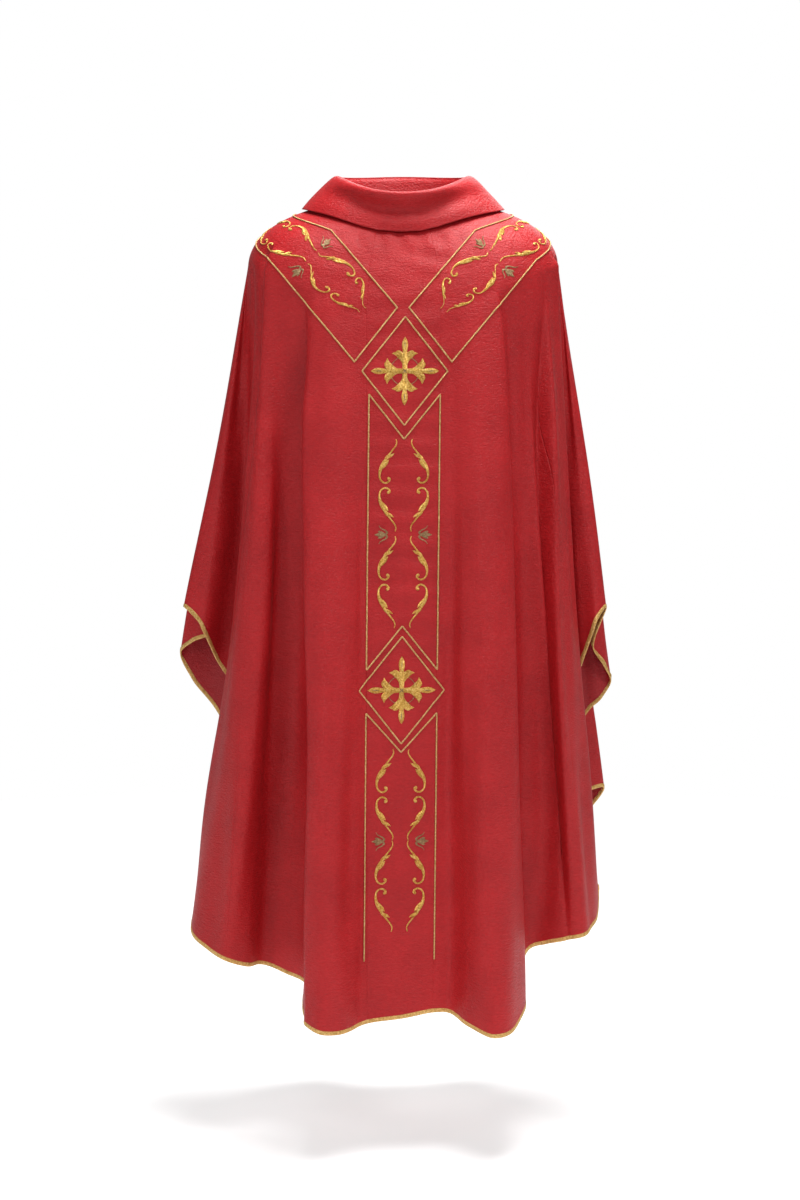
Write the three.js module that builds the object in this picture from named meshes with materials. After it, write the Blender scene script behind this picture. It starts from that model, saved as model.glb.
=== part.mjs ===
// A gothic chasuble, hanging as it does when worn: millimetres, +Z up, the wearer faces -Y.
// The wearer's left is +X. The origin is on the centre line, level with the base of the neck,
// where the garment rests on the shoulders.
//
// The cloth is one surface, followed by fall lines that leave the neck, cross the shoulders and
// drop to the hem. Panels, hem braid, cords and embroidery are all laid on that surface.
import * as THREE from "three";

// ---- driving dimensions ----
const CLOTH = 1.6; // cloth with its interlining
const SEAM = 0.4; // room left along a sewn seam
const BRAID_WIDTH = 6;
const BRAID_ROOM = 1.8; // between the last row of a panel and the braid sewn along it
const EMBROIDERY_GAP = 1.5; // room between a flat facet of cloth and the stitches on it
const EMBROIDERY = 1.2; // height of the stitches
const CORD = 2.4; // width of the couched outline cord

// Rings of the garment, each seen from above: an oval of its own squareness, with its own heights.
const NECKLINE = { half: 96, front: 88, back: 72, power: 2, z: { side: 2, front: -28, back: 14 } };
const CHEST = { half: 243, front: 152, back: 122, power: 2.6, z: { side: -95, front: -190, back: -150 } };
const ROLL = { half: 104, front: 97, back: 82, power: 2.1, z: { side: 41, front: 9, back: 46 } };

// How the cloth turns over the shoulder between neckline and chest: the share of the way out at
// which it starts to fall, and the height of that bend.
const BEND = { out: { side: 0.95, front: 0.81, back: 0.85 }, z: { side: -25, front: -70, back: -40 } };

// Fall lines of each half, from centre front to centre back:
// [direction round the chest in degrees, hem x, hem y, hem z, early or late spread (1 is even)]
const LEFT_FOLDS = [
  [20.5, 46, -190, -1245, 1], // front seam of the centre panel
  [26, 69, -186, -1246, 1],
  [31, 98, -222, -1258, 0.9],
  [36.5, 136, -250, -1269, 0.8], // front lobe
  [41, 170, -228, -1264, 0.5],
  [44.5, 188, -180, -1242, 0.4],
  [47.5, 183, -125, -1217, 0.6], // front valley
  [51, 199, -88, -1171, 0.8],
  [56, 225, -88, -1161, 1],
  [61, 257, -106, -1152, 1.2], // side lobe
  [66, 283, -98, -1146, 1.3], // seam of the side panel
  [70, 300, -75, -1137, 1.3],
  [74, 310, -40, -1122, 1.3],
  [77, 302, -12, -1064, 1.2],
  [80.5, 252, 22, -937, 1], // crease behind the side lobe
  [83.5, 264, 10, -796, 1],
  [86, 290, -8, -712, 1], // wing over the arm
  [88, 308, -24, -655, 1],
  [90, 324, -8, -636, 1],
  [93, 305, 40, -700, 1],
  [95.5, 327, 55, -739, 1],
  [98, 337, 72, -759, 1],
  [101, 325, 86, -791, 1],
  [104, 302, 84, -814, 1],
  [107.5, 258, 62, -899, 1], // crease behind the wing
  [111, 286, 98, -950, 1],
  [115, 334, 138, -950, 1], // back side lobe, seam of the side panel
  [120, 290, 178, -1022, 1],
  [126, 226, 156, -1130, 1], // back valley
  [133, 190, 186, -1235, 1],
  [142, 147, 208, -1298, 1], // back lobe
  [151, 98, 204, -1302, 1],
  [159.5, 55, 188, -1290, 1], // back seam of the centre panel
];
const RIGHT_FOLDS = [
  [20.5, 55, -203, -1259, 1],
  [26, 77, -222, -1264, 1],
  [31, 102, -245, -1266, 0.9],
  [36.5, 128, -250, -1263, 0.8],
  [41, 151, -222, -1252, 0.8],
  [44.5, 162, -178, -1230, 0.8],
  [47.5, 155, -120, -1218, 0.9],
  [51, 183, -85, -1210, 1],
  [56, 221, -85, -1196, 1],
  [61, 247, -112, -1191, 1.2],
  [66, 277, -125, -1180, 1.3],
  [70, 312, -100, -1166, 1.3],
  [74, 335, -50, -1141, 1.3],
  [77, 324, -12, -1079, 1.2],
  [80.5, 245, 22, -937, 1],
  [83.5, 260, 12, -790, 1],
  [86, 291, -2, -731, 1],
  [88, 321, -32, -663, 1],
  [90, 345, -8, -636, 1],
  [93, 318, 35, -684, 1],
  [95.5, 340, 52, -698, 1],
  [98, 362, 75, -719, 1],
  [101, 345, 92, -762, 1],
  [104, 304, 86, -816, 1],
  [107.5, 250, 62, -915, 1],
  [111, 288, 98, -982, 1],
  [115, 324, 136, -1002, 1],
  [120, 286, 172, -1070, 1],
  [126, 224, 154, -1160, 1],
  [133, 182, 184, -1242, 1],
  [142, 135, 208, -1300, 1],
  [151, 92, 204, -1304, 1],
  [159.5, 55, 188, -1290, 1],
];
const CENTRE_FRONT = [0, 0, -195, -1253, 1];
const CENTRE_BACK = [180, 0, 180, -1288, 1];
const FOLD_START = 0.8; // below 1, folds deepen early on their way down
const FOLDS = [
  CENTRE_FRONT,
  ...LEFT_FOLDS,
  CENTRE_BACK,
  ...RIGHT_FOLDS.toReversed().map(([angle, x, y, z, spread]) => [360 - angle, -x, y, z, spread]),
];

// Places along the fold list where panels are sewn together.
const ALL = FOLDS.length;
const HALF = LEFT_FOLDS.length + 1;
const FRONT_SEAM = 1;
const SIDE_SEAM = 11;
const REAR_SEAM = 27;
const BACK_SEAM = HALF - 1;

const COLOURS = {
  cloth: 0xb4282d,
  gold: 0xd7a546,
  cord: 0xcda55f,
  braid: 0xcda555,
  bronze: 0x8f7340,
};

// ---- the surface of the cloth ----
const mix = (a, b, t) => a + (b - a) * t;
const radians = (degrees) => (degrees * Math.PI) / 180;

// A value that is `side` beside the wearer and turns smoothly into `front` and `back`.
function around(angle, { side, front, back }) {
  const c = Math.cos(radians(angle));
  return mix(side, c > 0 ? front : back, c * c);
}

// The point of a ring in a given direction from the centre.
function onRing(ring, angle) {
  const x = Math.sin(radians(angle));
  const y = -Math.cos(radians(angle));
  const depth = y < 0 ? ring.front : ring.back;
  const sum = Math.abs(x / ring.half) ** ring.power + Math.abs(y / depth) ** ring.power;
  const radius = sum ** (-1 / ring.power);
  return new THREE.Vector3(x * radius, y * radius, around(angle, ring.z));
}

// The fall line at place u along the fold list, by a centripetal spline through its neighbours.
function fallLine(u) {
  const count = FOLDS.length;
  const start = Math.floor(u);
  const fold = (i) => {
    const turns = Math.floor(i / count);
    const [angle, ...rest] = FOLDS[i - turns * count];
    return [angle + turns * 360, ...rest];
  };
  const p = [-1, 0, 1, 2].map((step) => fold(start + step));
  const knots = [0];
  for (let i = 0; i < 3; i++) {
    const apart = Math.hypot(p[i + 1][1] - p[i][1], p[i + 1][2] - p[i][2], p[i + 1][3] - p[i][3]);
    knots.push(knots[i] + Math.sqrt(apart));
  }
  const t = mix(knots[1], knots[2], u - start);
  const share = (from, to) => (t - knots[from]) / (knots[to] - knots[from]);
  const blend = (a, b, from, to) => a.map((value, k) => mix(value, b[k], share(from, to)));
  const a = [0, 1, 2].map((i) => blend(p[i], p[i + 1], i, i + 1));
  const b = [0, 1].map((i) => blend(a[i], a[i + 1], i, i + 2));
  const [angle, x, y, z, spread] = blend(b[0], b[1], 1, 2);
  return { angle, hem: new THREE.Vector3(x, y, z), spread };
}

// The cloth at place u round the garment and height v: 0 neckline, 1 chest, 2 hem.
function cloth(u, v) {
  const { angle, hem, spread } = fallLine(u);
  const chest = onRing(CHEST, angle);
  if (v <= 1) {
    const neck = onRing(NECKLINE, angle);
    const out = around(angle, BEND.out);
    const bend = neck.clone().lerp(chest, out).setZ(around(angle, BEND.z));
    return neck.lerp(bend, v).lerp(bend.clone().lerp(chest, v), v);
  }
  const s = v - 1;
  return new THREE.Vector3(
    mix(chest.x, hem.x, s ** spread),
    mix(chest.y, hem.y, s ** FOLD_START),
    mix(chest.z, hem.z, s),
  );
}

// The outward normal of the cloth.
function outward(u, v) {
  const step = 0.02;
  const low = Math.max(v - step, 0);
  const high = Math.min(v + step, 2);
  const across = cloth(u + step, v).sub(cloth(u - step, v));
  const down = cloth(u, high).sub(cloth(u, low));
  return down.cross(across).normalize();
}

// A point `height` proud of the cloth.
const above = (u, v, height) => cloth(u, v).addScaledVector(outward(u, v), height);

// A point `inset` in from the hem, square to it, and `height` proud of the cloth.
function nearHem(u, inset, height) {
  const step = 0.05;
  const along = cloth(u + step, 2).sub(cloth(u - step, 2)).normalize();
  const normal = outward(u, 2);
  const inward = normal.clone().cross(along).normalize();
  return cloth(u, 2).addScaledVector(inward, inset).addScaledVector(normal, height);
}

// ---- solids from grids of points ----
function mesh(name, colour, points, triangles, metalness = 0) {
  const geometry = new THREE.BufferGeometry().setFromPoints(points);
  geometry.setIndex(triangles);
  geometry.computeVertexNormals();
  const roughness = metalness ? 0.45 : 0.8;
  const material = new THREE.MeshStandardMaterial({ color: colour, roughness, metalness });
  const made = new THREE.Mesh(geometry, material);
  made.name = name;
  return made;
}

// A solid from rings of points: ring i joins ring i + 1, and each ring closes on itself.
// The ends are capped, or joined to each other when the rings go all the way round. A ring goes
// out along one face and back along the other, and both faces are split along the same diagonals.
function tube(name, colour, rings, closed, metalness) {
  const size = rings[0].length;
  const triangles = [];
  const steps = closed ? rings.length : rings.length - 1;
  for (let i = 0; i < steps; i++) {
    const here = i * size;
    const next = ((i + 1) % rings.length) * size;
    for (let k = 0; k < size; k++) {
      const l = (k + 1) % size;
      if (k < size / 2) triangles.push(here + k, next + k, next + l, here + k, next + l, here + l);
      else triangles.push(here + k, next + k, here + l, next + k, next + l, here + l);
    }
  }
  if (!closed) {
    const last = (rings.length - 1) * size;
    for (let k = 0; k < size / 2 - 1; k++) {
      const a = size - 1 - k;
      triangles.push(k, k + 1, a, k + 1, a - 1, a);
      triangles.push(last + k, last + a, last + k + 1, last + k + 1, last + a, last + a - 1);
    }
  }
  return mesh(name, colour, rings.flat(), triangles, metalness);
}

// ---- the panels ----
const STEEP_HEM = { from: 14, to: 18 };
const ROWS = [0, 0.3, 0.6, 0.84, 0.94, 1, 1.04, 1.1, 1.2, 1.38, 1.6, 1.8];

// Columns between two places: two steps between neighbouring fall lines, and four where the hem
// climbs steeply to the wings.
function columnsOf(from, to) {
  const columns = [from];
  while (columns.at(-1) < to) {
    const u = columns.at(-1);
    const fromCentreFront = Math.min(Math.abs(u + 0.25), ALL - u - 0.25);
    const steep = fromCentreFront >= STEEP_HEM.from && fromCentreFront <= STEEP_HEM.to;
    columns.push(u + (steep ? 0.25 : 0.5));
  }
  return columns;
}

// One panel of cloth from seam `from` to seam `to`, as a shell with a little room at each seam.
function panel(name, from, to) {
  const columns = columnsOf(from, to);
  const rings = columns.map((u, i) => {
    const edge = i === 0 ? 1 : i === columns.length - 1 ? -1 : 0;
    const row = (v, height) => inFromSeam(u, edge, (place) => above(place, v, height));
    const hem = (height) => inFromSeam(u, edge, (place) => nearHem(place, BRAID_WIDTH + BRAID_ROOM, height));
    const outside = [...ROWS.map((v) => row(v, 0)), hem(0)];
    const inside = [...ROWS.map((v) => row(v, -CLOTH)), hem(-CLOTH)];
    return [...inside, ...outside.reverse()];
  });
  return tube(name, COLOURS.cloth, rings, false);
}

// A point moved half a seam's room away from the seam it lies on.
function inFromSeam(u, edge, pointAt) {
  const point = pointAt(u);
  if (!edge) return point;
  const inner = pointAt(u + 0.25 * edge);
  return point.addScaledVector(inner.sub(point).normalize(), SEAM / 2);
}

// ---- the hem braid, one length all the way round ----
function hemBraid() {
  const rings = [];
  for (const u of columnsOf(0, ALL - 0.5)) {
    rings.push([
      nearHem(u, BRAID_WIDTH, -CLOTH),
      nearHem(u, 0, -CLOTH),
      nearHem(u, 0, 0),
      nearHem(u, BRAID_WIDTH, 0),
    ]);
  }
  return tube("hem_braid", COLOURS.braid, rings, true, 0.3);
}

// ---- the rolled collar ----
const COLLAR_CLOTH = 2.4; // two layers
const COLLAR_EDGE = 0.25; // where the turned-down edge lies, between neckline and chest
const COLLAR_STEPS = 40;

// The collar's section at one direction, from its edge on the shoulder, up over the roll and down
// the inside to the neckline: a spline through the edge, the belly, the roll and the stand.
function collarSection(u) {
  const angle = fallLine(u).angle;
  const edge = above(u, COLLAR_EDGE, 5);
  const roll = onRing(ROLL, angle);
  const outwards = new THREE.Vector3(roll.x, roll.y, 0).normalize();
  const neck = onRing(NECKLINE, angle).addScaledVector(outwards, -1);
  const belly = edge.clone().lerp(roll, 0.55).addScaledVector(outwards, 8);
  const shoulderOfRoll = edge.clone().lerp(roll, 0.92).addScaledVector(outwards, 6);
  const insideRoll = roll.clone().addScaledVector(outwards, -7);
  insideRoll.z -= 7;
  const stand = neck.clone().lerp(insideRoll, 0.5);
  neck.z += 2;
  return new THREE.CatmullRomCurve3([edge, belly, shoulderOfRoll, roll, insideRoll, stand, neck]);
}

// A ring-shaped strip of the collar between two shares of its section.
function collarPiece(name, from, to, steps) {
  const rings = [];
  for (let i = 0; i < COLLAR_STEPS; i++) {
    const u = (i / COLLAR_STEPS) * FOLDS.length;
    const section = collarSection(u);
    const angle = radians(fallLine(u).angle);
    const sideways = new THREE.Vector3(Math.cos(angle), Math.sin(angle), 0);
    const outer = [];
    const inner = [];
    for (let k = 0; k <= steps; k++) {
      const share = mix(from, to, k / steps);
      const point = section.getPoint(share);
      const normal = section.getTangent(share).cross(sideways).normalize();
      outer.push(point.clone());
      inner.push(point.clone().addScaledVector(normal, COLLAR_CLOTH));
    }
    rings.push([...outer, ...inner.reverse()]);
  }
  return tube(name, COLOURS.cloth, rings, true);
}

// ---- finding places on the front and on the back ----
// A fine net of the front or back, used to lay things on it as seen square on.
const NET = { u: 0.25, v: 0.05 };
const TINY = 1e-6;

function netOf(from, to) {
  const net = [];
  for (let u = from; u < to - TINY; u += NET.u) {
    for (let v = 0; v < 2 - TINY; v += NET.v) {
      const corners = [
        [u, v],
        [u + NET.u, v],
        [u + NET.u, v + NET.v],
        [u, v + NET.v],
      ].map(([a, b]) => ({ u: a, v: b, at: cloth(a, b) }));
      net.push([corners[0], corners[1], corners[2]], [corners[0], corners[2], corners[3]]);
    }
  }
  return net;
}
const FRONT_NET = [...netOf(0, 13), ...netOf(ALL - 13, ALL)];
const BACK_NET = netOf(HALF - 10, HALF + 10);

// The place {u, v} of the cloth seen at x, z from in front (side -1) or from behind (side 1).
function placeAt(side, x, z) {
  let best = null;
  for (const [a, b, c] of side < 0 ? FRONT_NET : BACK_NET) {
    const area = (b.at.x - a.at.x) * (c.at.z - a.at.z) - (c.at.x - a.at.x) * (b.at.z - a.at.z);
    if (Math.abs(area) < TINY) continue;
    const wb = ((x - a.at.x) * (c.at.z - a.at.z) - (c.at.x - a.at.x) * (z - a.at.z)) / area;
    const wc = ((b.at.x - a.at.x) * (z - a.at.z) - (x - a.at.x) * (b.at.z - a.at.z)) / area;
    if (wb < -TINY || wc < -TINY || wb + wc > 1 + TINY) continue;
    const wa = 1 - wb - wc;
    const y = wa * a.at.y + wb * b.at.y + wc * c.at.y;
    if (best && (y - best.y) * side < 0) continue;
    best = { y, u: wa * a.u + wb * b.u + wc * c.u, v: wa * a.v + wb * b.v + wc * c.v };
  }
  if (!best) throw new Error("no cloth at x " + x + ", z " + z);
  return best;
}

// ---- embroidery ----
// The centre column leans a little as the garment hangs.
const COLUMN_LEAN = 0.0099;
const COLUMN_AT_ORIGIN = 5.1;
const columnCentre = (z) => COLUMN_AT_ORIGIN + COLUMN_LEAN * z;

// A flat shape laid on the cloth. `toPlace` finds the place {u, v} of each [across, up] of it.
function plate(name, colour, outline, toPlace, gap = EMBROIDERY_GAP) {
  const flat = outline.map(([across, up]) => new THREE.Vector2(across, up));
  if (THREE.ShapeUtils.isClockWise(flat)) flat.reverse();
  const places = flat.map(({ x, y }) => toPlace(x, y));
  const faces = THREE.ShapeUtils.triangulateShape(flat, []);
  const points = [
    ...places.map(({ u, v }) => above(u, v, gap)),
    ...places.map(({ u, v }) => above(u, v, gap + EMBROIDERY)),
  ];
  const turnedOver = seenFromInside(flat[0], toPlace);
  const triangles = [];
  const add = (a, b, c) => (turnedOver ? triangles.push(a, c, b) : triangles.push(a, b, c));
  const n = flat.length;
  for (const [a, b, c] of faces) {
    add(a + n, b + n, c + n);
    add(a, c, b);
  }
  for (let i = 0; i < n; i++) {
    const j = (i + 1) % n;
    add(i, j, j + n);
    add(i, j + n, i + n);
  }
  return mesh(name, colour, points, triangles, 0.4);
}

// Whether a flat shape's own front faces into the garment, which a mirrored shape's does.
function seenFromInside({ x, y }, toPlace) {
  const [here, across, up] = [toPlace(x, y), toPlace(x + 1, y), toPlace(x, y + 1)];
  const [a, b, c] = [here, across, up].map(({ u, v }) => cloth(u, v));
  return b.sub(a).cross(c.sub(a)).dot(outward(here.u, here.v)) < 0;
}

// A couched cord through places {u, v}: a square section, corner up.
function cord(name, places, closed) {
  const half = CORD / 2;
  const middle = EMBROIDERY_GAP + half;
  const points = places.map(({ u, v }) => above(u, v, middle));
  const rings = points.map((point, i) => {
    const before = points[closed ? (i + points.length - 1) % points.length : Math.max(i - 1, 0)];
    const after = points[closed ? (i + 1) % points.length : Math.min(i + 1, points.length - 1)];
    const normal = outward(places[i].u, places[i].v);
    const along = after.clone().sub(before).normalize();
    const sideways = along.clone().cross(normal).normalize();
    const corner = (a, b) => point.clone().addScaledVector(sideways, a).addScaledVector(normal, b);
    return [corner(half, 0), corner(0, half), corner(-half, 0), corner(0, -half)];
  });
  return tube(name, COLOURS.cord, rings, closed, 0.3);
}

// Places along straight lines between corners [x, z], no further apart than `step`.
function lineOn(side, corners, step, closed) {
  const places = [];
  const ends = closed ? [...corners, corners[0]] : corners;
  for (let i = 0; i + 1 < ends.length; i++) {
    const [ax, az] = ends[i];
    const [bx, bz] = ends[i + 1];
    const steps = Math.ceil(Math.hypot(bx - ax, bz - az) / step);
    for (let k = 0; k < steps; k++) {
      places.push(placeAt(side, mix(ax, bx, k / steps), mix(az, bz, k / steps)));
    }
  }
  if (!closed) places.push(placeAt(side, ...ends.at(-1)));
  return places;
}

// Diamonds round the crosses, and the column outlines between them.
const CROSS_Z = { upper: -262, lower: -747 };
const DIAMOND = { halfWidth: 65, halfHeight: 82 };
const COLUMN_HALF = 54;
const UPPER_COLUMN = { shoulder: -297, notch: -365, corner: -716, apex: -649 };
const LOWER_COLUMN = { shoulder: -782, notch: -842, end: -1162 };
const CORD_STEP = 45;
const BAND_STEP = 14; // closer, because the chest and back are round under the band

const fromColumn = ([across, z]) => [columnCentre(z) + across, z];

function diamondCord(name, side, z) {
  const { halfWidth: w, halfHeight: h } = DIAMOND;
  const corners = [[0, z + h], [w, z], [0, z - h], [-w, z]].map(fromColumn);
  return cord(name, lineOn(side, corners, CORD_STEP, true), true);
}

function upperColumnCord(name, side) {
  const { shoulder, notch, corner, apex } = UPPER_COLUMN;
  const w = COLUMN_HALF;
  const top = [[-w, shoulder], [0, notch], [w, shoulder]];
  const bottom = [[w, corner], [0, apex], [-w, corner]];
  return cord(name, lineOn(side, [...top, ...bottom].map(fromColumn), CORD_STEP, true), true);
}

function lowerColumnCord(name, side) {
  const { shoulder, notch, end } = LOWER_COLUMN;
  const w = COLUMN_HALF;
  const corners = [[-w, end], [-w, shoulder], [0, notch], [w, shoulder], [w, end]].map(fromColumn);
  return cord(name, lineOn(side, corners, CORD_STEP, false), false);
}

// The shoulder bands: each edge runs from its lower end on the chest over the shoulder line, and
// down the back as it came up the front. The inner edges pass under the collar.
const BAND_EDGE = {
  outer: { corners: [[74, -248], [204, -92]], ridge: 0.66 },
  inner: { corners: [[9, -166], [110, -48]], ridge: 0.3 },
};
const BAND_WIDTH = 106;
const BAND_LENGTH = 295; // from its lower end to the shoulder line
const SHOULDER_LINE = 19;

// One edge on one face as places, each with the share of the length from its lower end.
function bandEdge(side, hand, { corners, ridge }) {
  const flat = lineOn(side, corners.map(([x, z]) => [hand * x, z]), BAND_STEP, false);
  const last = flat.at(-1);
  const u = hand > 0 ? SHOULDER_LINE : ALL - SHOULDER_LINE;
  const over = [0.2, 0.4, 0.6, 0.8, 1].map((s) => ({ u: mix(last.u, u, s), v: mix(last.v, ridge, s) }));
  const places = [...flat, ...over];
  let length = 0;
  const lengths = places.map((place, i) => {
    if (i) length += cloth(place.u, place.v).distanceTo(cloth(places[i - 1].u, places[i - 1].v));
    return length;
  });
  return places.map((place, i) => ({ ...place, share: lengths[i] / length }));
}

function bandCord(name, hand) {
  const { outer, inner } = BAND_EDGE;
  const foot = (side) => {
    const ends = [inner.corners[0], outer.corners[0]].map(([x, z]) => [hand * x, z]);
    return lineOn(side, ends, BAND_STEP, false).slice(1, -1);
  };
  return cord(
    name,
    [
      ...foot(-1),
      ...bandEdge(-1, hand, outer),
      ...bandEdge(1, hand, outer).slice(0, -1).reverse(),
      ...foot(1).reverse(),
      ...bandEdge(1, hand, inner),
      ...bandEdge(-1, hand, inner).slice(0, -1).reverse(),
    ],
    true,
  );
}

// The place on a shoulder band's front, `aside` of its middle line and `along` from its lower end.
function onBand(hand) {
  const edges = [BAND_EDGE.inner, BAND_EDGE.outer].map((edge) => bandEdge(-1, hand, edge));
  const on = (edge, share) => {
    const next = Math.max(1, edge.findIndex((place) => place.share >= Math.min(share, 1)));
    const [a, b] = [edge[next - 1], edge[next]];
    const t = (share - a.share) / (b.share - a.share);
    return { u: mix(a.u, b.u, t), v: mix(a.v, b.v, t) };
  };
  return (aside, along) => {
    const [inner, outer] = edges.map((edge) => on(edge, along / BAND_LENGTH));
    const across = 0.5 + aside / BAND_WIDTH;
    return { u: mix(inner.u, outer.u, across), v: mix(inner.v, outer.v, across) };
  };
}

// A cross with foliate ends: half an arm's outline as [out along the arm, to its side].
const CROSS_ARM = [
  [7, 3],
  [20, 2.4],
  [22, 7],
  [20, 13],
  [24, 17],
  [29, 14],
  [31, 8],
  [34, 5],
  [42, 5],
  [48, 3],
];
const CROSS_TIP = 52;

function crossOutline() {
  const outline = [];
  for (let arm = 0; arm < 4; arm++) {
    const turn = (arm * Math.PI) / 2;
    const turned = ([out, aside]) => [
      out * Math.cos(turn) - aside * Math.sin(turn),
      out * Math.sin(turn) + aside * Math.cos(turn),
    ];
    const below = CROSS_ARM.map(([out, aside]) => turned([out, -aside]));
    const beyond = CROSS_ARM.map(turned).reverse();
    outline.push(...below, turned([CROSS_TIP, 0]), ...beyond);
  }
  return outline;
}

const onColumn = (side) => (across, z) => placeAt(side, ...fromColumn([across, z]));

// The thin ring couched first, and the cross worked over it.
const RING = { radius: 22, half: 0.6, sides: 24 };
const CROSS_GAP = EMBROIDERY_GAP + 2 * RING.half + 0.5;

function cross(name, side, z) {
  const toPlace = (across, up) => onColumn(side)(across, z + up);
  return plate(name, COLOURS.gold, crossOutline(), toPlace, CROSS_GAP);
}

function crossRing(name, side, z) {
  const { radius, half, sides } = RING;
  const height = EMBROIDERY_GAP + half;
  const middle = placeAt(side, ...fromColumn([0, z]));
  const normal = outward(middle.u, middle.v);
  const rings = [];
  for (let i = 0; i < sides; i++) {
    const turn = (i / sides) * 2 * Math.PI;
    const spot = (out, lift) => {
      const at = fromColumn([out * Math.cos(turn), z + out * Math.sin(turn)]);
      const { u, v } = placeAt(side, ...at);
      return cloth(u, v).addScaledVector(normal, height + lift);
    };
    const section = [
      spot(radius - half, 0),
      spot(radius, -half),
      spot(radius + half, 0),
      spot(radius, half),
    ];
    rings.push(side < 0 ? section : section.reverse());
  }
  return tube(name, COLOURS.bronze, rings, true, 0.3);
}

// Two scroll leaves whose curls meet: a ribbon of changing width along [aside, along, half-width].
const SCROLL = [
  [13, 69, 0.5],
  [17, 55, 2.6],
  [22, 44, 4.2],
  [29, 32, 5],
  [35, 21, 3.6],
  [37, 12, 2.4],
  [33, 4, 2.2],
];

const SCROLL_STEPS = 28;

// The scrolls as one ribbon: down one leaf to the curls and up the mirrored leaf.
function scrolls(name, toPlace) {
  const mirrored = SCROLL.map(([aside, along, width]) => [aside, -along, width]).reverse();
  const stops = [...SCROLL, ...mirrored].map((stop) => new THREE.Vector3(...stop));
  const path = new THREE.CatmullRomCurve3(stops);
  const turnedOver = seenFromInside(path.getPoint(0.5), toPlace);
  const rings = [];
  for (let i = 0; i <= SCROLL_STEPS; i++) {
    const { x, y, z: width } = path.getPoint(i / SCROLL_STEPS);
    const along = path.getTangent(i / SCROLL_STEPS);
    const reach = width / Math.hypot(along.x, along.y);
    const left = toPlace(x - along.y * reach, y + along.x * reach);
    const right = toPlace(x + along.y * reach, y - along.x * reach);
    const corner = ({ u, v }, height) => above(u, v, EMBROIDERY_GAP + height);
    const ring = [corner(left, 0), corner(right, 0), corner(right, EMBROIDERY), corner(left, EMBROIDERY)];
    rings.push(turnedOver ? ring.reverse() : ring);
  }
  return tube(name, COLOURS.gold, rings, false, 0.4);
}

// A tulip bud between two pairs of scrolls, its point away from the middle line.
const TULIP = [
  [24, 1],
  [30, 2],
  [33, 6],
  [39, 7],
  [37, 3],
  [43, 0],
  [37, -3],
  [39, -7],
  [33, -6],
  [30, -2],
  [24, -1],
];

// What is worked on one run of the front: two pairs of scrolls and a bud, on both sides of its
// middle line. `names` are its two sides, `pairs` and `bud` are distances along it.
function motifs(run, names, pairs, bud, toPlace) {
  const made = [];
  names.forEach((name, i) => {
    const hand = i === 0 ? -1 : 1;
    const at = (middle) => (aside, along) => toPlace(hand * aside, middle + along);
    pairs.forEach((middle, k) => {
      made.push(scrolls(`${run}_${name}_scrolls_${k + 1}`, at(middle)));
    });
    made.push(plate(`${run}_${name}_tulip`, COLOURS.bronze, TULIP, at(bud)));
  });
  return made;
}

// ---- the whole garment ----
const chasuble = new THREE.Group();

chasuble.add(
  panel("front_centre_panel", -FRONT_SEAM, FRONT_SEAM),
  panel("front_left_panel", FRONT_SEAM, SIDE_SEAM),
  panel("left_side_panel", SIDE_SEAM, REAR_SEAM),
  panel("back_left_panel", REAR_SEAM, BACK_SEAM),
  panel("back_centre_panel", BACK_SEAM, ALL - BACK_SEAM),
  panel("back_right_panel", ALL - BACK_SEAM, ALL - REAR_SEAM),
  panel("right_side_panel", ALL - REAR_SEAM, ALL - SIDE_SEAM),
  panel("front_right_panel", ALL - SIDE_SEAM, ALL - FRONT_SEAM),
  hemBraid(),
);

const ROLL_TOP = 0.52; // the share of the collar's section at which it is folded
const ROLL_ROOM = 0.004;
chasuble.add(
  collarPiece("collar_fall", 0, ROLL_TOP - ROLL_ROOM, 6),
  collarPiece("collar_stand", ROLL_TOP + ROLL_ROOM, 1, 5),
);

for (const [face, side] of [["front", -1], ["back", 1]]) {
  for (const [level, z] of Object.entries(CROSS_Z)) {
    chasuble.add(
      cross(`${face}_${level}_cross`, side, z),
      crossRing(`${face}_${level}_cross_ring`, side, z),
      diamondCord(`${face}_${level}_diamond_cord`, side, z),
    );
  }
  chasuble.add(
    upperColumnCord(`${face}_upper_column_cord`, side),
    lowerColumnCord(`${face}_lower_column_cord`, side),
  );
}
chasuble.add(bandCord("left_shoulder_band_cord", 1), bandCord("right_shoulder_band_cord", -1));

chasuble.add(
  ...motifs("upper_column", ["right", "left"], [-435, -582], -510, onColumn(-1)),
  ...motifs("lower_column", ["right", "left"], [-907, -1048], -979, onColumn(-1)),
  ...motifs("left_band", ["inner", "outer"], [76, 222], 149, onBand(1)),
  ...motifs("right_band", ["inner", "outer"], [76, 222], 149, onBand(-1)),
);

export default chasuble;
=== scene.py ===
import math

import bmesh
import bpy
import numpy as np
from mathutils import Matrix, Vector
from mathutils.bvhtree import BVHTree


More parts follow.
